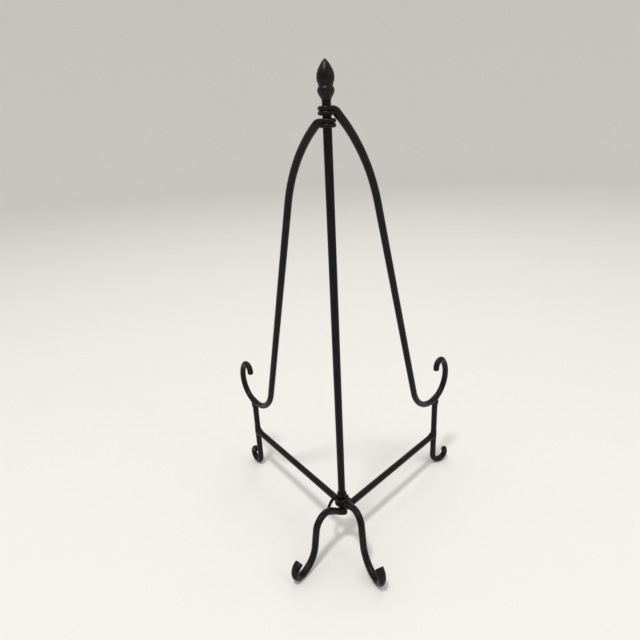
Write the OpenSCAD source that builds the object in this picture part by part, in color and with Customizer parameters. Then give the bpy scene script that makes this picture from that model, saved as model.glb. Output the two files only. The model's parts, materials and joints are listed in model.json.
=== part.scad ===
// Folding wire display easel.
// Two flat side frames of bent round rod swing like doors on one straight centre post.
// Origin: on the floor, in the middle of the footprint. +Z is up, +Y is the display side, where the hooks are.

/* [Overall] */
// Height from the floor to the tip of the finial
total_h = 460; // [450:1:480]
// Angle between the middle plane and each side frame
half_angle = 40; // [10:1:60]

/* [Rods] */
// Diameter of the centre post
post_d = 7.3; // [7:0.1:7.6]
// Diameter of the rods of the side frames
rod_d = 7; // [6.2:0.1:7.1]
// Radial gap between the post and the coils that turn on it
running_gap = 0.05; // [0.02:0.01:0.1]
// Distance from the post's axis to the plane of each side frame
frame_offset = 5.5; // [5.4:0.1:6]

/* [Top coils] */
// Thickness of the drawn-down wire in the top coils
top_wire = 3.5; // [3.2:0.1:3.6]
// Middle height of the left and the right frame's top coil
top_coil_z = [414.9, 424]; // [400:0.1:430]
// Number of turns in each top coil
top_turns = 2; // [1:1:2]

/* [Arms and hooks] */
// Slope of the left and the right arm where it leaves its coil
arm_start_slope = [31, 37.5]; // [25:0.5:45]
// Slope of both arms along their straight run
arm_run_slope = 73.7; // [70:0.1:77]
// Lowest point of the hook's centre line: distance from the post, and height
hook_low = [161.1, 94.4]; // [80:0.1:180]
// Bend radius of the hook's bottom
hook_bend_r = 40.8; // [36:0.1:44]
// Bend angle of the left and the right hook's bottom
hook_bend_angle = [87, 83]; // [80:0.5:95]
// Bend radius of the left and the right hook's outer side
hook_side_r = [26.5, 27.8]; // [24:0.1:29]
// Bend angle of the left and the right hook's outer side
hook_side_angle = [121.5, 125]; // [110:0.5:130]
// Bend radius of the curl at the hook's end
hook_curl_r = 8; // [7:0.1:12]
// Angle of the curl at the end of the left and the right hook
hook_curl_angle = [150, 152]; // [100:1:160]

/* [Front legs] */
// Distance from the post's axis to the left and the right front leg
leg_reach = [165.5, 169]; // [164:0.5:171]
// Outward turn of the left and the right front foot
front_foot_turn = [3, 24]; // [0:1:30]
// Bend radius of the left and the right front foot's curl
front_curl_r = [8.2, 8.9]; // [7:0.1:10]
// Angle of the left and the right front foot's curl
front_curl_angle = [280, 213]; // [180:1:285]

/* [Base] */
// Height of the left and the right bar
bar_z = [51.7, 42.3]; // [38:0.1:55]
// Middle height of the right bar's coil
right_coil_z = 40.6; // [40:0.1:40.6]
// Radial thickness of the left bar's drawn-down coil
base_wire = 3.8; // [3.5:0.1:4]
// Height of one turn of the left bar's coil
base_turn_h = 4.8; // [4.5:0.1:4.9]

/* [Rear feet] */
// Height at which the left and the right frame's rear foot leaves its coil
rear_start_z = [50.7, 43.7]; // [40:0.1:53]
// Turn of the left and the right frame's rear foot towards the back, out of its frame's plane
rear_turn = [11, 4]; // [0:1:14]
// Upward slope of the left and the right frame's rear foot where it leaves the coil
rear_rise = [17, 30]; // [10:1:35]
// Length of that rising stretch
rear_rise_len = [17.8, 11.1]; // [8:0.1:20]
// Bend radius over the top of the left and the right frame's rear foot
rear_knee_r = [11.8, 13.6]; // [9:0.1:15]
// Slope of the straight drop of the left and the right frame's rear foot
rear_drop_slope = [82, 79.5]; // [70:0.5:86]
// Bend radius where the drop flares out to the floor
rear_flare_r = [24.3, 22.2]; // [15:0.1:27]
// Bend radius of the left and the right frame's rear curl
rear_curl_r = [10.4, 8.8]; // [7:0.1:11]
// Angle of the left and the right frame's rear curl
rear_curl_angle = [151, 167]; // [120:1:200]

/* [Stops and finial] */
// Outer diameter and height of the stop collar that rests on the base coils
collar_size = [9.8, 5.4]; // [5:0.1:12]
// Height of the finial's seat above the floor
finial_z = 431; // [429:0.5:433]
// Largest diameter of the finial's bud
bud_d = 13.9; // [12:0.1:14]
// Largest diameter of the ring under the bud
urn_d = 13.5; // [12:0.1:14]

/* [Hidden] */
$fn = 64;

LEFT = -1;
RIGHT = 1;
post_colour = [0.17, 0.16, 0.155];
rod_colour = [0.2, 0.19, 0.18];
finial_colour = [0.15, 0.14, 0.14];
weld_colour = [0.24, 0.23, 0.22];

rod_r = rod_d / 2;
post_r = post_d / 2;
coil_bore_r = post_r + running_gap;

// Clear space between parts of the two frames that pass each other
pass_gap = 0.3;

// The left bar's coil has two thin turns; the right bar's coil is one turn of full rod.
base_turns = 2;
left_coil_top = bar_z[0] + base_turn_h / 2;
left_coil_low = left_coil_top - base_turns * base_turn_h;
right_coil_low = right_coil_z - rod_r;

// Where the bars and arms begin, clear of the post, and each arm's height from its coil's middle
bar_start = [5.5, 7];
arm_start = 4;
arm_shift = [1.2, -0.6];

// Gap left between two rods that a weld bead bridges, how far a bead stands proud of its rod, and
// how far the bead at a rear foot sits back from the rod's end, towards the coil
weld_gap = 0.3;
weld_rise = 0.6;
foot_weld_back = 0.9;

// Height above the rod and length of the bands at a bend's ends
band_rise = 0.03;
band_len = 0.8;

// Arm: the shoulder bend and the straight run that join the coil to the hook's bend
hook_start = [hook_low[0] - hook_bend_r * sin(arm_run_slope),
              hook_low[1] + hook_bend_r * (1 - cos(arm_run_slope))];
run_s = cos(arm_run_slope);
run_z = sin(arm_run_slope);

function pick(pair, side) = pair[side == LEFT ? 0 : 1];
function arm_z(side) = pick(top_coil_z, side) + pick(arm_shift, side);
function bend_s(side) = run_z - sin(pick(arm_start_slope, side));
function bend_z(side) = cos(pick(arm_start_slope, side)) - run_s;
function solve_det(side) = bend_s(side) * run_z - bend_z(side) * run_s;
function shoulder_r(side) =
    let (ds = hook_start[0] - arm_start, dz = arm_z(side) - hook_start[1])
    (ds * run_z - dz * run_s) / solve_det(side);
function straight_len(side) =
    let (ds = hook_start[0] - arm_start, dz = arm_z(side) - hook_start[1])
    (dz * bend_s(side) - ds * bend_z(side)) / solve_det(side);

// Outermost point of the hook's centre line
function hook_reach(side) =
    let (hook_exit = pick(hook_bend_angle, side) - arm_run_slope)
    hook_low[0] + hook_bend_r * sin(hook_exit) + pick(hook_side_r, side) * (1 - sin(hook_exit));

// Top of the front legs
leg_top = hook_low[1] - rod_r - weld_gap;

// Rear foot: distance of its start from the axis, its drop and its outermost point
function rear_start(side) =
    (side == LEFT ? coil_bore_r + base_wire : coil_bore_r + rod_d) + weld_gap + rod_r * sin(pick(rear_rise, side));
function knee_top_z(side) =
    pick(rear_start_z, side) + pick(rear_rise_len, side) * sin(pick(rear_rise, side))
        + pick(rear_knee_r, side) * (1 - cos(pick(rear_rise, side)));
function rear_drop_len(side) =
    let (slope = pick(rear_drop_slope, side))
    (knee_top_z(side) - (pick(rear_knee_r, side) + pick(rear_flare_r, side)) * (1 - cos(slope))
        - rod_r - band_rise) / sin(slope);
function rear_reach(side) =
    let (slope = pick(rear_drop_slope, side), rise = pick(rear_rise, side))
    rear_start(side) + pick(rear_rise_len, side) * cos(rise)
        + pick(rear_knee_r, side) * (sin(rise) + sin(slope)) + rear_drop_len(side) * cos(slope)
        + pick(rear_flare_r, side) * sin(slope) + pick(rear_curl_r, side);
function rear_angle(side) = half_angle - pick(rear_turn, side);

// The origin sits in the middle of the footprint, so the post stands behind it.
front_edge = max(hook_reach(LEFT), hook_reach(RIGHT)) * cos(half_angle) - frame_offset * sin(half_angle) + rod_r;
back_edge = max(rear_reach(LEFT) * cos(rear_angle(LEFT)), rear_reach(RIGHT) * cos(rear_angle(RIGHT))) + rod_r;
post_y = (back_edge - front_edge) / 2;

// Post ends
spigot_r = 2.4;
spigot_len = 8.5;
socket_gap = 0.1;
peen_r = 4.8;
peen_h = 2.2;
post_low = right_coil_low - pass_gap - peen_h;

// A bent round rod. Each entry of path is [length] for a straight run, or [radius, angle] for a
// bend in the XZ plane: a positive angle turns towards +Z. The rod starts at the origin along +X.
// A hair-thin band over each place where a bend begins or ends joins the pieces into one solid.
module rod(path, radius = rod_r, step = 0) {
    if (step > 0 && step < len(path))
        rotate([0, 90, 0]) cylinder(r = radius + band_rise, h = band_len, center = true);
    if (step < len(path)) {
        piece = path[step];
        if (len(piece) == 1) {
            rotate([0, 90, 0]) cylinder(r = radius, h = piece[0]);
            translate([piece[0], 0, 0]) rod(path, radius, step + 1);
        } else {
            angle = abs(piece[1]);
            mirror([0, 0, piece[1] < 0 ? 1 : 0])
                rotate([0, 90, 0]) rotate([90, 0, 0]) translate([-piece[0], 0, 0])
                    rotate_extrude(angle = angle) translate([piece[0], 0]) circle(r = radius);
            translate([piece[0] * sin(angle), 0, sign(piece[1]) * piece[0] * (1 - cos(angle))])
                rotate([0, -piece[1], 0]) rod(path, radius, step + 1);
        }
    }
}

// Turns of wire stacked on the post, from height low upwards. Each turn is thick across the
// radius and tall along the post, with rounded edges, and a web joins the turns.
module coil(low, turns, thick, tall) {
    corner = min(thick, tall) / 2;
    translate([0, 0, low]) rotate_extrude() {
        for (turn = [0 : turns - 1]) translate([coil_bore_r + thick / 2, (turn + 0.5) * tall]) {
            for (up = [-1, 1]) translate([0, up * (tall / 2 - corner)]) circle(r = corner);
            if (tall > thick) square([thick, tall - thick], center = true);
        }
        if (turns > 1)
            translate([coil_bore_r + thick / 4, turns * tall / 2]) square([thick / 2, (turns - 1) * tall], center = true);
    }
}

// Stands its children at the post's axis
module at_post() {
    translate([0, post_y, 0]) children();
}

// The plane of one side frame: children's +X runs out along the frame, away from the post
module in_frame(side) {
    at_post() rotate([0, 0, 90 - side * half_angle]) translate([0, -side * frame_offset, 0]) children();
}

// The plane of one frame's rear foot, which runs straight out from the post's axis
module in_rear_foot(side) {
    at_post() rotate([0, 0, 270 - side * rear_angle(side)]) children();
}

module centre_post() {
    color(post_colour) at_post() {
        translate([0, 0, post_low]) cylinder(r = post_r, h = finial_z - post_low);
        translate([0, 0, post_low]) cylinder(r = peen_r, h = peen_h);
        translate([0, 0, finial_z]) cylinder(r = spigot_r, h = spigot_len);
    }
}

// Outline of the cast finial: a cone flares from the post to a rounded ring, then a waist, then a
// bud with a rounded shoulder and a pointed tip
module finial_outline() {
    neck_flare = 0.5;
    neck_z = 1.5;
    cone_z = 4;
    cone_inset = 1.3;
    ring_z = 7.5;
    ring_half_h = 1.8;
    ring_round = 1.5;
    ring_sweep = 50;
    waist_z = 10.6;
    waist_inset = 1.15;
    bud_z = 16.4;
    bud_round = 1.9;
    bud_sweep = 55;
    tip_power = 2.2;
    ring_r = urn_d / 2;
    bud_r = bud_d / 2;
    tip_z = total_h - finial_z;
    steps = 16;
    polygon(concat(
        [[0, 0], [post_r, 0], [post_r + neck_flare, neck_z], [ring_r - cone_inset, cone_z]],
        [for (a = [-ring_sweep : ring_sweep / 5 : ring_sweep])
            [ring_r - ring_round * (1 - cos(a)), ring_z + ring_half_h * sin(a) / sin(ring_sweep)]],
        [[bud_r - waist_inset, waist_z]],
        [for (i = [1 : steps]) let (a = bud_sweep * (i / steps - 1))
            [bud_r - bud_round * (1 - cos(a)), bud_z + (bud_z - waist_z) * sin(a) / sin(bud_sweep)]],
        [for (i = [1 : steps]) let (t = i / steps)
            [bud_r * (1 - pow(t, tip_power)), bud_z + (tip_z - bud_z) * t]]
    ));
}

module finial() {
    color(finial_colour) at_post() translate([0, 0, finial_z]) difference() {
        rotate_extrude() finial_outline();
        cylinder(r = spigot_r + socket_gap, h = 2 * (spigot_len + socket_gap), center = true);
    }
}

module stop_collar() {
    edge = 0.5;
    color(post_colour) at_post() translate([0, 0, left_coil_top + pass_gap]) rotate_extrude() {
        translate([post_r, 0]) square([collar_size[0] / 2 - post_r - edge, collar_size[1]]);
        translate([post_r, edge]) square([collar_size[0] / 2 - post_r, collar_size[1] - 2 * edge]);
        for (z = [edge, collar_size[1] - edge]) translate([collar_size[0] / 2 - edge, z]) circle(r = edge);
    }
}

// Top coil, arm, hook and curl: one rod
module arm(side) {
    color(rod_colour) {
        at_post() coil(pick(top_coil_z, side) - top_turns * top_wire / 2, top_turns, top_wire, top_wire);
        in_frame(side) translate([arm_start, 0, arm_z(side)]) rotate([0, pick(arm_start_slope, side), 0])
            rod([[shoulder_r(side), pick(arm_start_slope, side) - arm_run_slope], [straight_len(side)],
                 [hook_bend_r, pick(hook_bend_angle, side)],
                 [pick(hook_side_r, side), pick(hook_side_angle, side)],
                 [hook_curl_r, pick(hook_curl_angle, side)]]);
    }
}

// Short leg under the hook, ending in a curled foot
module leg(side) {
    curl_r = pick(front_curl_r, side);
    color(rod_colour) in_frame(side) translate([pick(leg_reach, side), 0, leg_top])
        rotate([0, 0, -side * pick(front_foot_turn, side)]) rotate([0, 90, 0])
            rod([[leg_top - curl_r - rod_r], [curl_r, pick(front_curl_angle, side)]]);
}

// Level bar from the post to the leg, with its coil round the post
module bar(side) {
    bar_len = pick(leg_reach, side) - rod_r - weld_gap - pick(bar_start, side);
    color(rod_colour) {
        if (side == LEFT) at_post() coil(left_coil_low, base_turns, base_wire, base_turn_h);
        if (side == RIGHT) at_post() coil(right_coil_low, 1, rod_d, rod_d);
        in_frame(side) translate([pick(bar_start, side), 0, pick(bar_z, side)]) rod([[bar_len]]);
    }
}

// Rear foot: rises from the coil, bends over, drops, flares to the floor and curls up
module rear_foot(side) {
    color(rod_colour) in_rear_foot(side)
        translate([rear_start(side), 0, pick(rear_start_z, side)]) rotate([0, -pick(rear_rise, side), 0])
            rod([[pick(rear_rise_len, side)],
                 [pick(rear_knee_r, side), -pick(rear_rise, side) - pick(rear_drop_slope, side)],
                 [rear_drop_len(side)], [pick(rear_flare_r, side), pick(rear_drop_slope, side)],
                 [pick(rear_curl_r, side), pick(rear_curl_angle, side)]]);
}

// A rounded bead of weld that bridges the gap between two rods
module weld_bead() {
    color(weld_colour) sphere(r = rod_r + weld_rise);
}

module hook_weld(side) {
    in_frame(side) translate([pick(leg_reach, side), 0, leg_top - weld_rise]) weld_bead();
}

module bar_weld(side) {
    in_frame(side) translate([pick(leg_reach, side) - rod_r, 0, pick(bar_z, side)]) weld_bead();
}

module foot_weld(side) {
    in_rear_foot(side) translate([rear_start(side) - foot_weld_back, 0, pick(rear_start_z, side)])
        weld_bead();
}

centre_post();
finial();
stop_collar();
arm(LEFT);  // left_arm
leg(LEFT);  // left_leg
bar(LEFT);  // left_bar
rear_foot(LEFT);  // left_rear_foot
hook_weld(LEFT);  // left_hook_weld
bar_weld(LEFT);  // left_bar_weld
foot_weld(LEFT);  // left_foot_weld
arm(RIGHT);  // right_arm
leg(RIGHT);  // right_leg
bar(RIGHT);  // right_bar
rear_foot(RIGHT);  // right_rear_foot
hook_weld(RIGHT);  // right_hook_weld
bar_weld(RIGHT);  // right_bar_weld
foot_weld(RIGHT);  // right_foot_weld
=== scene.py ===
import json
from math import cos, radians, sin, tau

import bpy
from mathutils import Matrix, Vector, noise


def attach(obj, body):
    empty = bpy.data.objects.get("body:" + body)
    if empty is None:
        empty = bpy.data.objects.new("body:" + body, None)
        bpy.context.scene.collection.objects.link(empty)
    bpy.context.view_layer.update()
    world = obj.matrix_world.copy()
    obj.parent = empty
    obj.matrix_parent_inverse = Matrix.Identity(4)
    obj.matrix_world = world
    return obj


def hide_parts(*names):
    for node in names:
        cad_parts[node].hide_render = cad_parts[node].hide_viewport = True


# Looks of the folding wire display easel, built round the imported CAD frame.
# Lengths are in millimetres in the CAD's frame, and become metres in new_mesh() and fuse(). The camera,
# the floor and the lights are in metres.

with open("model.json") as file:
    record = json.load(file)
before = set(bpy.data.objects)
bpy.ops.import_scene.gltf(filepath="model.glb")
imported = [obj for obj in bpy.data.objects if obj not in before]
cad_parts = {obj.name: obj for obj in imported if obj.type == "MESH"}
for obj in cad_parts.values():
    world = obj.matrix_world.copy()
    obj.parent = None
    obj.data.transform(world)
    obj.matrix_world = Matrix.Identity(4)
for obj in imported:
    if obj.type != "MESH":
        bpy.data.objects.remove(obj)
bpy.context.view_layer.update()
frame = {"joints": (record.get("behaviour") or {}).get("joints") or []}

MM = 0.001
LEFT, RIGHT = -1, 1
UP = Vector((0, 0, 1))

# The post's axis, which both swings turn about
hinge_x, hinge_y = frame["joints"][0]["pos_m"][:2]
POST = Vector((hinge_x / MM, hinge_y / MM, 0))

# The CAD's values, with the lengths that it works out
TOTAL_H = 460
HALF_ANGLE = 40
POST_R, ROD_R = 3.65, 3.5
COIL_BORE = 3.7
FRAME_OFFSET = 5.5
TOP_WIRE_R = 1.75
TOP_COIL_Z = {LEFT: 414.9, RIGHT: 424}
ARM_START = 4
ARM_Z = {LEFT: 416.1, RIGHT: 423.4}
ARM_SLOPE = {LEFT: 31, RIGHT: 37.5}
ARM_RUN_SLOPE = 73.7
SHOULDER_R = {LEFT: 117.495, RIGHT: 150.732}
STRAIGHT = {LEFT: 234.022, RIGHT: 231.685}
HOOK = {LEFT: ((40.8, 87), (26.5, 121.5), (8, 150)), RIGHT: ((40.8, 83), (27.8, 125), (8, 152))}
LEG_S = {LEFT: 165.5, RIGHT: 169}
LEG_TOP = 90.6
LEG_TURN = {LEFT: 3, RIGHT: 24}
LEG_CURL_R = {LEFT: 8.2, RIGHT: 8.9}
LEG_CURL = {LEFT: 280, RIGHT: 213}
BAR_Z = {LEFT: 51.7, RIGHT: 42.3}
REAR_AZ = {LEFT: 299, RIGHT: 234}
REAR_START = {LEFT: (8.3, 51.5), RIGHT: (12.75, 43.7)}
REAR_RISE = {LEFT: 17, RIGHT: 30}
REAR_RISE_LEN = {LEFT: 17.8, RIGHT: 11.1}
REAR_KNEE_R = {LEFT: 11.8, RIGHT: 13.6}
REAR_DROP = {LEFT: 22.028, RIGHT: 18.577}
REAR_SLOPE = {LEFT: 82, RIGHT: 79.5}
REAR_FLARE_R = {LEFT: 24.3, RIGHT: 22.2}
REAR_CURL_R = {LEFT: 10.4, RIGHT: 8.8}
REAR_CURL = {LEFT: 151, RIGHT: 167}
FINIAL_Z = 431
COLLAR_Z, COLLAR_H, COLLAR_R = 53.2, 5.0, 4.9
POST_LOW, PEEN_R, PEEN_H = 34.6, 4.8, 2.2

SIDES = 28
STEP = 1.1


# ---------------------------------------------------------------- paths

def smooth(t):
    t = min(1.0, max(0.0, t))
    return t * t * (3 - 2 * t)


def direction(azimuth):
    return Vector((cos(radians(azimuth)), sin(radians(azimuth)), 0))


def in_frame(side, s, z, offset=FRAME_OFFSET):
    """A point of one side frame: s out from the post along its plane, at height z."""
    out = direction(90 - side * HALF_ANGLE)
    across = Vector((-out.y, out.x, 0))
    return POST + out * s - across * (side * offset) + UP * z


def on_coil(side, u, radius, z):
    """A point u degrees round the post from where that frame's rods meet it, the way they wrap."""
    return POST + direction(270 + side * (90 - HALF_ANGLE - u)) * radius + UP * z


def coil_heading(side, u):
    a = radians(270 + side * (90 - HALF_ANGLE - u))
    return Vector((side * sin(a), -side * cos(a), 0))


def chain(start, slope, pieces, fine=0.5):
    """Points (s, z) along straight runs (length,) and bends (radius, angle); a positive angle turns up."""
    s, z = start
    a = radians(slope)
    points = [(s, z)]
    for piece in pieces:
        if len(piece) == 1:
            n = max(2, round(piece[0] / fine))
            step = piece[0] / n
            points += [(s + cos(a) * step * i, z + sin(a) * step * i) for i in range(1, n + 1)]
        else:
            r, turn = piece[0], radians(piece[1])
            sign = 1 if turn > 0 else -1
            cs, cz = s - sign * r * sin(a), z + sign * r * cos(a)
            n = max(6, round(abs(turn) * r / fine))
            for i in range(1, n + 1):
                b = a + turn * i / n
                points.append((cs + sign * r * sin(b), cz - sign * r * cos(b)))
            a += turn
        s, z = points[-1]
    return points


def hermite(p0, d0, p1, d1, pull0=1.0, pull1=1.0, n=24):
    """Points of a smooth curve between p0 and p1 with those headings, ends left out."""
    span = (p1 - p0).length
    m0, m1 = d0.normalized() * span * pull0, d1.normalized() * span * pull1
    out = []
    for i in range(1, n):
        t = i / n
        out.append(p0 * (2 * t**3 - 3 * t**2 + 1) + m0 * (t**3 - 2 * t**2 + t)
                   + p1 * (3 * t**2 - 2 * t**3) + m1 * (t**3 - t**2))
    return out


CURVE_STEPS = 8


def smooth_through(points, n=CURVE_STEPS):
    """A smooth curve through the points."""
    pts = [points[0] * 2 - points[1]] + points + [points[-1] * 2 - points[-2]]
    out = []
    for a, b, c, d in zip(pts, pts[1:], pts[2:], pts[3:]):
        for i in range(n):
            t = i / n
            out.append(0.5 * (2 * b + (c - a) * t + (2 * a - 5 * b + 4 * c - d) * t * t
                              + (3 * b - a - 3 * c + d) * t**3))
    return out + [points[-1]]


def length_of(points):
    return sum((b - a).length for a, b in zip(points, points[1:]))


def resample(points, step=STEP):
    total = length_of(points)
    n = max(2, round(total / step))
    out, seg, done = [points[0]], 0, 0.0
    for i in range(1, n):
        want = total * i / n
        while seg < len(points) - 2 and done + (points[seg + 1] - points[seg]).length < want:
            done += (points[seg + 1] - points[seg]).length
            seg += 1
        d = (points[seg + 1] - points[seg]).length
        out.append(points[seg].lerp(points[seg + 1], (want - done) / d))
    return out + [points[-1]]


def at_length(keys, d):
    """The half width and half height at distance d along a rod, from (distance, width[, height]) keys."""
    if d <= keys[0][0]:
        k = keys[0]
        return k[1], k[-1]
    for a, b in zip(keys, keys[1:]):
        if d <= b[0]:
            t = smooth((d - a[0]) / max(1e-6, b[0] - a[0]))
            return a[1] + (b[1] - a[1]) * t, a[-1] + (b[-1] - a[-1]) * t
    k = keys[-1]
    return k[1], k[-1]


# ---------------------------------------------------------------- meshes

EDGE = 0.5
RIM_STEP = 18
# How closely a rod's long and fine unevenness repeat, and the fine one's share
WAVES = (0.31, 1.1)
FINE_SHARE = 0.4


def tube(points, keys, rough=0.035, sides=SIDES, edge=EDGE, far_edge=None):
    """Vertices and faces of a rod, its cut ends rounded by edge at the start and far_edge at the finish."""
    points = resample(points)
    far_edge = far_edge or edge
    total = length_of(points)
    dist, rings = 0.0, []
    for i, p in enumerate(points):
        if i:
            dist += (p - points[i - 1]).length
        rings.append((p, dist, 0.0))

    def rim(i, j, base, r):
        d = (points[j] - points[i]).normalized()
        curve = [(points[i] + d * r * (1 - cos(radians(a))), base, r * (1 - sin(radians(a))))
                 for a in range(0, 90, RIM_STEP)]
        return curve + [(points[i] + d * r, base, 0.0)]

    inner = [ring for ring in rings if edge < ring[1] < total - far_edge]
    rings = rim(0, 1, 0.0, edge) + inner + rim(-1, -2, total, far_edge)[::-1]
    verts, faces = [], []
    tangent = (rings[4][0] - rings[0][0]).normalized()
    wide = tangent.cross(UP)
    if wide.length < 0.1:
        wide = Vector((1, 0, 0))
    wide = (wide - tangent * wide.dot(tangent)).normalized()
    for i, (p, d, shrink) in enumerate(rings):
        a, b = rings[max(0, i - 1)][0], rings[min(len(rings) - 1, i + 1)][0]
        new = (b - a).normalized()
        wide = (tangent.rotation_difference(new) @ wide).normalized()
        tangent = new
        high = wide.cross(tangent)
        rw, rh = at_length(keys, d)
        for k in range(sides):
            t = tau * k / sides
            q = p + wide * cos(t) * (rw - shrink) + high * sin(t) * (rh - shrink)
            if rough:
                uneven = noise.noise(q * WAVES[0]) + noise.noise(q * WAVES[1]) * FINE_SHARE
                q += (q - p).normalized() * uneven * rough
            verts.append(q)
    for i in range(len(rings) - 1):
        for k in range(sides):
            m = (k + 1) % sides
            faces.append((i * sides + k, i * sides + m, (i + 1) * sides + m, (i + 1) * sides + k))
    for first, flip in ((0, True), ((len(rings) - 1) * sides, False)):
        centre = len(verts)
        verts.append(rings[0 if flip else -1][0].copy())
        for k in range(sides):
            m = (k + 1) % sides
            faces.append((centre, first + m, first + k) if flip else (centre, first + k, first + m))
    return verts, faces


def turned_edge(r, z, edge, first, last):
    """Profile points round an edge whose centre is at radius r and height z, from one angle to another."""
    return [(r + edge * cos(radians(a)), z + edge * sin(radians(a))) for a in range(first, last + 1, 15)]


def lathe(profile, sides=48, rough=0.0):
    """Vertices and faces of a closed turned shape on the post's axis, from (radius, z) points."""
    verts, faces = [], []
    for r, z in profile:
        for k in range(sides):
            t = tau * k / sides
            q = POST + Vector((cos(t) * r, sin(t) * r, z))
            if rough:
                q += Vector((cos(t), sin(t), 0)) * noise.noise(q * 0.4) * rough
            verts.append(q)
    for i in range(len(profile) - 1):
        for k in range(sides):
            m = (k + 1) % sides
            faces.append((i * sides + k, i * sides + m, (i + 1) * sides + m, (i + 1) * sides + k))
    for row, flip in ((0, True), (len(profile) - 1, False)):
        centre = len(verts)
        verts.append(POST + UP * profile[row][1])
        for k in range(sides):
            m = (k + 1) % sides
            a, b = row * sides + k, row * sides + m
            faces.append((centre, b, a) if flip else (centre, a, b))
    return verts, faces


def join(*parts):
    verts, faces = [], []
    for v, f in parts:
        base = len(verts)
        verts += v
        faces += [tuple(i + base for i in face) for face in f]
    return verts, faces


def new_mesh(name, geometry, scale=MM):
    verts, faces = geometry
    mesh = bpy.data.meshes.new(name)
    mesh.from_pydata([tuple(v * scale) for v in verts], [], faces)
    mesh.update()
    mesh.polygons.foreach_set("use_smooth", [True] * len(mesh.polygons))
    return mesh


def new_object(name, mesh):
    obj = bpy.data.objects.new(name, mesh)
    bpy.context.scene.collection.objects.link(obj)
    return obj


def place(name, geometry, body, slot, nodes):
    """Makes a piece that rides a body, stands for CAD nodes and takes its finish from a slot."""
    mesh = geometry if isinstance(geometry, bpy.types.Mesh) else new_mesh(name, geometry)
    mesh.materials.append(COATS[slot])
    obj = new_object(name, mesh)
    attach(obj, body)
    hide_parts(*nodes)
    return obj


VOXEL = 0.28
SOFTEN_ROUNDS = 14


def fuse(name, strands):
    """One smooth skin round several short strands, such as a weld: crevices fill in and edges soften."""
    raw = new_object(name + "_raw", new_mesh(name + "_raw", join(*strands), scale=1))
    remesh = raw.modifiers.new("skin", "REMESH")
    remesh.mode = "VOXEL"
    remesh.voxel_size = VOXEL
    remesh.use_smooth_shade = True
    soften = raw.modifiers.new("soften", "SMOOTH")
    soften.factor = 0.5
    soften.iterations = SOFTEN_ROUNDS
    bpy.context.view_layer.update()
    shaped = raw.evaluated_get(bpy.context.evaluated_depsgraph_get())
    mesh = bpy.data.meshes.new_from_object(shaped)
    mesh.name = name
    mesh.transform(Matrix.Scale(MM, 4))
    mesh.materials.clear()
    bpy.data.objects.remove(raw)
    return mesh


# ---------------------------------------------------------------- finishes

# Noise scales per metre, and the depth of the orange peel in metres
CLOUD_SCALE, GLOSS_SCALE = 70, 240
PEEL_DEPTH = 0.00012


def coat(name, dark, light, rough, peel, peel_size, shine):
    """Satin powder coat: an uneven dark tone, uneven gloss and a fine orange-peel surface."""
    mat = bpy.data.materials.new(name)
    mat.use_nodes = True
    tree = mat.node_tree
    nodes, links = tree.nodes, tree.links
    nodes.clear()
    out = nodes.new("ShaderNodeOutputMaterial")
    bsdf = nodes.new("ShaderNodeBsdfPrincipled")
    bsdf.inputs["Metallic"].default_value = 0.0
    bsdf.inputs["Specular IOR Level"].default_value = shine
    links.new(bsdf.outputs[0], out.inputs[0])
    where = nodes.new("ShaderNodeTexCoord")

    def noise_at(scale, detail):
        n = nodes.new("ShaderNodeTexNoise")
        n.inputs["Scale"].default_value = scale
        n.inputs["Detail"].default_value = detail
        links.new(where.outputs["Object"], n.inputs["Vector"])
        return n

    def spread(source, low, high, a, b):
        m = nodes.new("ShaderNodeMapRange")
        m.inputs["From Min"].default_value = low
        m.inputs["From Max"].default_value = high
        m.inputs["To Min"].default_value = a
        m.inputs["To Max"].default_value = b
        links.new(source, m.inputs["Value"])
        return m.outputs["Result"]

    cloud = noise_at(CLOUD_SCALE, 3)
    ramp = nodes.new("ShaderNodeValToRGB")
    ramp.color_ramp.elements[0].position = 0.3
    ramp.color_ramp.elements[0].color = (*dark, 1)
    ramp.color_ramp.elements[1].position = 0.72
    ramp.color_ramp.elements[1].color = (*light, 1)
    links.new(cloud.outputs["Fac"], ramp.inputs["Fac"])
    links.new(ramp.outputs["Color"], bsdf.inputs["Base Color"])
    gloss = noise_at(GLOSS_SCALE, 2)
    links.new(spread(gloss.outputs["Fac"], 0.3, 0.7, rough - 0.06, rough + 0.07), bsdf.inputs["Roughness"])
    grain = noise_at(peel_size, 3)
    bump = nodes.new("ShaderNodeBump")
    bump.inputs["Strength"].default_value = peel
    bump.inputs["Distance"].default_value = PEEL_DEPTH
    links.new(grain.outputs["Fac"], bump.inputs["Height"])
    links.new(bump.outputs["Normal"], bsdf.inputs["Normal"])
    return mat


# Each coat: dark and light tone, roughness, peel strength and scale, and shine
COATS = {
    slot: coat(slot, *look) for slot, look in {
        "post_coat": ((0.0035, 0.0033, 0.0033), (0.0075, 0.0068, 0.0064), 0.38, 0.35, 1500, 0.13),
        "rod_coat": ((0.004, 0.0035, 0.0032), (0.0085, 0.0074, 0.0066), 0.33, 0.4, 1400, 0.16),
        "finial_coat": ((0.003, 0.003, 0.0031), (0.007, 0.0067, 0.0065), 0.35, 0.5, 1000, 0.2),
        "weld_coat": ((0.0045, 0.0039, 0.0035), (0.0095, 0.0082, 0.0072), 0.42, 0.6, 1100, 0.15),
    }.items()
}


# ---------------------------------------------------------------- post, collar, finial

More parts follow.
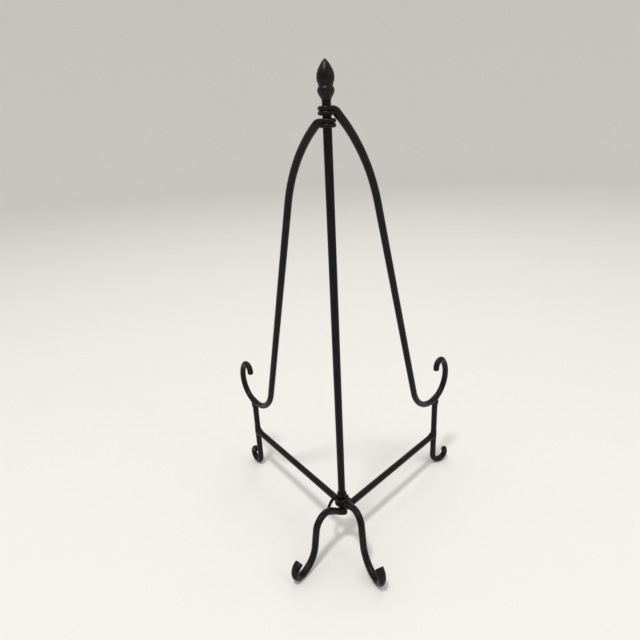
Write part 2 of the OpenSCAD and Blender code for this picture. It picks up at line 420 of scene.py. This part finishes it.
PEEN_EDGE = 0.9
PEEN_FACE_R = PEEN_R * 0.55
SHANK_STEP = 1.5
peen = [(PEEN_FACE_R, POST_LOW)]
peen += turned_edge(PEEN_R - PEEN_EDGE, POST_LOW + PEEN_EDGE, PEEN_EDGE, -90, 0)
peen += turned_edge(PEEN_R - PEEN_EDGE, POST_LOW + PEEN_H - PEEN_EDGE, PEEN_EDGE, 0, 90)
peen += [(POST_R + 0.25, POST_LOW + PEEN_H), (POST_R, POST_LOW + PEEN_H + 0.3)]
shank_low = POST_LOW + PEEN_H + 1
shank = [(POST_R, shank_low + i * SHANK_STEP) for i in range(int((FINIAL_Z - shank_low - 1) / SHANK_STEP))]
place("centre_post", lathe(peen + shank + [(POST_R, FINIAL_Z)], sides=40, rough=0.03),
      "post", "post_coat", ["centre_post"])

COLLAR_EDGE = 0.9
BORE_SUNK = 0.3
collar = [(POST_R - BORE_SUNK, COLLAR_Z), (COLLAR_R - COLLAR_EDGE, COLLAR_Z)]
collar += turned_edge(COLLAR_R - COLLAR_EDGE, COLLAR_Z + COLLAR_EDGE, COLLAR_EDGE, -75, 0)
collar += turned_edge(COLLAR_R - COLLAR_EDGE, COLLAR_Z + COLLAR_H - COLLAR_EDGE, COLLAR_EDGE, 0, 90)
collar += [(POST_R + 0.1, COLLAR_Z + COLLAR_H), (POST_R - BORE_SUNK, COLLAR_Z + COLLAR_H)]
place("stop_collar", lathe(collar, sides=40, rough=0.08), "post", "post_coat", ["stop_collar"])

# The finial's outline: height above its seat, and radius, as a smooth curve through a few turned features
FINIAL_OUTLINE = ((0, POST_R), (1.4, 4.1), (3.6, 5.4), (5.6, 6.4), (7.4, 6.75), (8.9, 6.4), (10.2, 5.65),
                  (11.8, 5.95), (14, 6.75), (16.2, 6.95), (19, 6.65), (21.6, 5.75), (24, 4.5), (26.4, 2.95),
                  (28.2, 1.4), (29, 0.5))
outline = smooth_through([Vector(key) for key in FINIAL_OUTLINE], 6)
finial = [(max(0.02, key.y), FINIAL_Z + min(key.x, TOTAL_H - FINIAL_Z)) for key in outline]
place("finial", lathe(finial, sides=64, rough=0.05), "post", "finial_coat", ["finial"])


# ---------------------------------------------------------------- rods of the side frames

TOP_WRAP = 610
TOP_CROSS = (250, 360)
ARM_JOIN_S = 8.5
ARM_TIP_R, ARM_TIP_LEN = 1.45, 4
ARM_TAPER_LEN = 6.5
LEG_SUNK = 2.5


def arm_path(side):
    top = TOP_COIL_Z[side] + TOP_WIRE_R
    drop = 2 * TOP_WIRE_R
    coil = []
    for u in range(TOP_WRAP, -1, -3):
        z = top - drop * smooth((u - TOP_CROSS[0]) / (TOP_CROSS[1] - TOP_CROSS[0]))
        coil.append(on_coil(side, u, COIL_BORE + TOP_WIRE_R, z))
    bends = ((SHOULDER_R[side], ARM_SLOPE[side] - ARM_RUN_SLOPE), (STRAIGHT[side],)) + HOOK[side]
    run = chain((ARM_START, ARM_Z[side]), -ARM_SLOPE[side], bends)
    run = [in_frame(side, s, z) for s, z in run if s > ARM_JOIN_S or z < 300]
    bend = hermite(coil[-1], coil_heading(side, 0) * -1, run[0], run[1] - run[0], 0.8, 0.9)
    return coil, bend, run


def arm(side, word):
    coil, bend, run = arm_path(side)
    thin = length_of(coil)
    keys = ((0, ARM_TIP_R), (ARM_TIP_LEN, TOP_WIRE_R), (thin - 1, TOP_WIRE_R), (thin + ARM_TAPER_LEN, ROD_R))
    place(word + "_arm", tube(coil + bend + run, keys), word + "_frame", "rod_coat", [word + "_arm"])
    return run


def leg_point(side, s, z):
    turn = direction(90 - side * HALF_ANGLE - side * LEG_TURN[side])
    return in_frame(side, LEG_S[side], z) + turn * s


def leg(side, word):
    top = LEG_TOP + LEG_SUNK
    path = chain((0, top), -90, ((top - LEG_CURL_R[side] - ROD_R,), (LEG_CURL_R[side], LEG_CURL[side])))
    place(word + "_leg", tube([leg_point(side, s, z) for s, z in path], ((0, ROD_R),)),
          word + "_frame", "rod_coat", [word + "_leg"])


def rear_path(side):
    run = chain(REAR_START[side], REAR_RISE[side],
                ((REAR_RISE_LEN[side],), (REAR_KNEE_R[side], -REAR_RISE[side] - REAR_SLOPE[side]),
                 (REAR_DROP[side],),
                 (REAR_FLARE_R[side], REAR_SLOPE[side]), (REAR_CURL_R[side], REAR_CURL[side])))
    return [radial(side, r, z) for r, z in run]


def radial(side, r, z):
    """A point in the plane of one frame's rear foot."""
    return POST + direction(REAR_AZ[side]) * r + UP * z


def from_post(*points):
    """Points given from the post's axis at floor level."""
    return [POST + Vector(p) for p in points]


def from_axis(p):
    return (p - POST - UP * p.z).length


def rear_foot(path, root_r, root_edge):
    """A rear foot from tip to root: hammered wide and thin at the tip, a little thinner at the root."""
    total = length_of(path)
    keys = ((3, HAMMERED_W, HAMMERED_H), (HAMMERED_LEN, ROD_R), (total - 4, ROD_R), (total, root_r))
    return tube(path[::-1], keys, edge=EDGE, far_edge=root_edge)


WIRE_W, WIRE_H = 1.9, 2.3
HAMMERED_LEN, HAMMERED_W, HAMMERED_H = 20, 4.5, 2.9
LEFT_COIL_R = COIL_BORE + WIRE_W
LEFT_WRAP = 408
LEFT_CROSS = (150, 340)
LEFT_ROOT_R = 11
RING_TAPER_LEN = 5
RING_A_Z, RING_B_Z = 50.2, 46
RING_TILT = 0.9
LUMP = ((10, 50.8), (12, 51.6), (15, 52.8), (19, 54))


def left_base():
    """The left bar's rod thins and wraps once and a bit round the post, and its tail runs into the weld lump
    that the rear foot starts from."""
    bar = [in_frame(LEFT, s, BAR_Z[LEFT]) for s in (LEG_S[LEFT], 120, 60, 20, 6.5)]
    coil = []
    for u in range(0, LEFT_WRAP + 1, 3):
        z = RING_A_Z - (RING_A_Z - RING_B_Z) * smooth((u - LEFT_CROSS[0]) / (LEFT_CROSS[1] - LEFT_CROSS[0]))
        turn = on_coil(LEFT, u, LEFT_COIL_R, z)
        coil.append(turn + UP * (RING_TILT * (turn.x - POST.x) / LEFT_COIL_R))
    bend = hermite(bar[-1], bar[-1] - bar[-2], coil[0], coil_heading(LEFT, 0))
    tail = smooth_through([coil[-12], coil[-1]] + from_post((3.4, -6.9, 47.4), (6.2, -10.4, 50)))
    path = bar + bend + coil + tail[9:]
    before = length_of(bar)
    keys = ((0, ROD_R), (before + 0.5, ROD_R), (before + RING_TAPER_LEN, WIRE_W, WIRE_H))
    place("left_bar", tube(path, keys), "left_frame", "rod_coat", ["left_bar"])

    foot = [p for p in rear_path(LEFT) if from_axis(p) > LEFT_ROOT_R]
    place("left_rear_foot", rear_foot(foot, ROD_R - 0.5, EDGE), "left_frame", "rod_coat", ["left_rear_foot"])

    lump = [radial(LEFT, r, z) for r, z in LUMP]
    skin = fuse("left_foot_weld", [tube(lump, ((0, 4.2), (5.5, 4.5), (9.5, 3)), rough=0, edge=2.8),
                                   sleeve(foot[:22], ROD_R - 0.2, ROD_R + 0.4, ROD_R - 0.35)])
    place("left_foot_weld", skin, "left_frame", "weld_coat", ["left_foot_weld"])


RING_C_Z = 39.5
STRAND_R = 1.65
RIGHT_ROOT_R = 17.5
RIGHT_WELD_SPAN = (13, 23)
BLUNT_EDGE = 2.9


def right_base():
    """The right bar ends beside the post. A thin strand from it goes round behind the post to the rear foot.
    The foot's own rod passes close in front of the post and ends bluntly there."""
    bar = [in_frame(RIGHT, s, BAR_Z[RIGHT]) for s in (LEG_S[RIGHT], 120, 70, 40, 20, 7.2)]
    strand = smooth_through(from_post((-12.2, -11.4, 44.6), (-14.0, -7.6, 43), (-13, -0.5, 42.4),
                                      (-10.2, 6.6, 42.8), (-5, 10.8, 42.6), (0.2, 11.6, 42.1),
                                      (5.2, 9.8, 41.8), (9, 7, 42), (12.2, 5.8, 42.3)))
    total = length_of(strand)
    rope = tube(strand, ((0, STRAND_R + 0.1), (3, STRAND_R), (total - 5, STRAND_R), (total, STRAND_R + 0.6)))
    rods = join(tube(bar, ((0, ROD_R),), edge=1.5), rope)
    place("right_bar", rods, "right_frame", "rod_coat", ["right_bar"])

    foot = [p for p in rear_path(RIGHT) if from_axis(p) > RIGHT_ROOT_R]
    front = from_post((5.3, -6.6, RING_C_Z - 0.1), (2.6, -7.3, RING_C_Z), (-1.4, -7.6, RING_C_Z + 0.2),
                      (-5.2, -8.9, RING_C_Z + 1.9))
    joined = smooth_through(front + [foot[0], foot[4], foot[8]], n=CURVE_STEPS)
    path = joined[:len(front) * CURVE_STEPS] + foot
    place("right_rear_foot", rear_foot(path, ROD_R - 0.2, BLUNT_EDGE), "right_frame", "rod_coat",
          ["right_rear_foot"])
    near, far = RIGHT_WELD_SPAN
    joint = [p for p in path if near < from_axis(p) < far and p.z > RING_C_Z + 1.5]
    skin = fuse("right_foot_weld", [sleeve(joint, ROD_R - 0.35, ROD_R + 0.2, ROD_R - 0.35),
                                    tube(strand[:16], ((0, STRAND_R + 0.9), (5, STRAND_R - 0.2)), rough=0)])
    place("right_foot_weld", skin, "right_frame", "weld_coat", ["right_foot_weld"])


def sleeve(points, first, middle, last, taper=3.5):
    """A short length of rod with its own radius at both ends and in between."""
    total = length_of(points)
    keys = ((0, first), (taper, middle), (total - taper, middle), (total, last))
    return tube(points, keys, rough=0, sides=32)


WELD_TAPER = 5
WELD_REACH = 9.5


def welds(side, word, run):
    """Smooth fillets under the hook and at the bar's outer end."""
    body = word + "_frame"
    sunk, proud, flare = ROD_R - 0.35, ROD_R + 0.3, ROD_R + 1.1
    foot_of_hook = in_frame(side, LEG_S[side], LEG_TOP + ROD_R)
    near = [p for p in run if (p - foot_of_hook).length < WELD_REACH]
    down = [in_frame(side, LEG_S[side], z) for z in (LEG_TOP + 2, LEG_TOP - 2, LEG_TOP - 9)]
    skin = fuse(word + "_hook_weld", [sleeve(near, sunk, proud, sunk, WELD_TAPER),
                                      tube(down, ((0, flare), (10.5, sunk)), rough=0)])
    place(word + "_hook_weld", skin, body, "weld_coat", [word + "_hook_weld"])
    z = BAR_Z[side]
    upright = [in_frame(side, LEG_S[side], z + d) for d in (-8.5, -3, 3, 10)]
    level = [in_frame(side, LEG_S[side] - d, z) for d in (0, 4, 12)]
    skin = fuse(word + "_bar_weld", [sleeve(upright, sunk, proud, sunk, WELD_TAPER),
                                     tube(level, ((2, flare), (11.5, sunk)), rough=0)])
    place(word + "_bar_weld", skin, body, "weld_coat", [word + "_bar_weld"])


for side, word in ((LEFT, "left"), (RIGHT, "right")):
    hook_run = arm(side, word)
    leg(side, word)
    welds(side, word, hook_run)

left_base()
right_base()


# ---------------------------------------------------------------- camera, floor and light

camera = bpy.data.objects.new("camera", bpy.data.cameras.new("camera"))
bpy.context.scene.collection.objects.link(camera)
bpy.context.scene.camera = camera
camera.data.sensor_width = 36
camera.data.lens = 28.1
camera.data.clip_start = 0.01
CAMERA_AT = Vector((0.0204, -0.45556, 0.4127))
CAMERA_AXES = (Vector((0.99693, 0.06223, -0.04765)), Vector((0.02185, 0.36317, 0.93147)),
               Vector((0.07528, -0.92965, 0.36069)))
turned = Matrix(CAMERA_AXES).transposed().to_4x4()
camera.matrix_world = Matrix.Translation(CAMERA_AT) @ turned


def plain(name, colour, rough):
    mat = bpy.data.materials.new(name)
    mat.use_nodes = True
    bsdf = mat.node_tree.nodes["Principled BSDF"]
    bsdf.inputs["Base Color"].default_value = (*colour, 1)
    bsdf.inputs["Roughness"].default_value = rough
    return mat


# A round paper dish: level under the easel, curving up far away on every side
DISH_FLAT_R, DISH_BEND_R, DISH_TOP, DISH_SIDES = 3.4, 1.6, 3.4, 96
section = [(r, 0.0) for r in (0.3, 1.0, 2.0, DISH_FLAT_R)]
section += [(DISH_FLAT_R + DISH_BEND_R * sin(radians(a)), DISH_BEND_R * (1 - cos(radians(a))))
            for a in range(3, 91, 3)]
section.append((DISH_FLAT_R + DISH_BEND_R, DISH_TOP))
around = [tau * k / DISH_SIDES for k in range(DISH_SIDES)]
dish = bpy.data.meshes.new("paper_dish")
dish.from_pydata([(r * cos(t), r * sin(t), z) for r, z in section for t in around], [],
                 [(i * DISH_SIDES + k, (i + 1) * DISH_SIDES + k,
                   (i + 1) * DISH_SIDES + (k + 1) % DISH_SIDES, i * DISH_SIDES + (k + 1) % DISH_SIDES)
                  for i in range(len(section) - 1) for k in range(DISH_SIDES)] + [tuple(range(DISH_SIDES))])
dish.polygons.foreach_set("use_smooth", [True] * len(dish.polygons))
dish.materials.append(plain("paper", (0.83, 0.82, 0.80), 0.95))
new_object("paper_dish", dish)


def area_light(name, spot, target, size, watts, colour=(1, 1, 1)):
    data = bpy.data.lights.new(name, "AREA")
    data.shape = "DISK"
    data.size = size
    data.energy = watts
    data.color = colour
    obj = bpy.data.objects.new(name, data)
    bpy.context.scene.collection.objects.link(obj)
    spot, target = Vector(spot), Vector(target)
    aim = (target - spot).to_track_quat("-Z", "Y").to_matrix().to_4x4()
    obj.matrix_world = Matrix.Translation(spot) @ aim


area_light("key", (-0.4, -0.9, 3.0), (0, 0, 0.2), 0.45, 42, (1, 0.98, 0.95))
area_light("fill", (1.4, -0.9, 1.2), (0, 0, 0.2), 0.6, 3, (0.96, 0.98, 1))
area_light("back", (0.3, 1.3, 1.8), (0, 0, 0.25), 0.7, 3)

world = bpy.data.worlds.new("world")
world.use_nodes = True
world.node_tree.nodes["Background"].inputs[0].default_value = (0.70, 0.69, 0.67, 1)
world.node_tree.nodes["Background"].inputs[1].default_value = 0.95
bpy.context.scene.world = world
bpy.context.scene.view_settings.view_transform = "Standard"
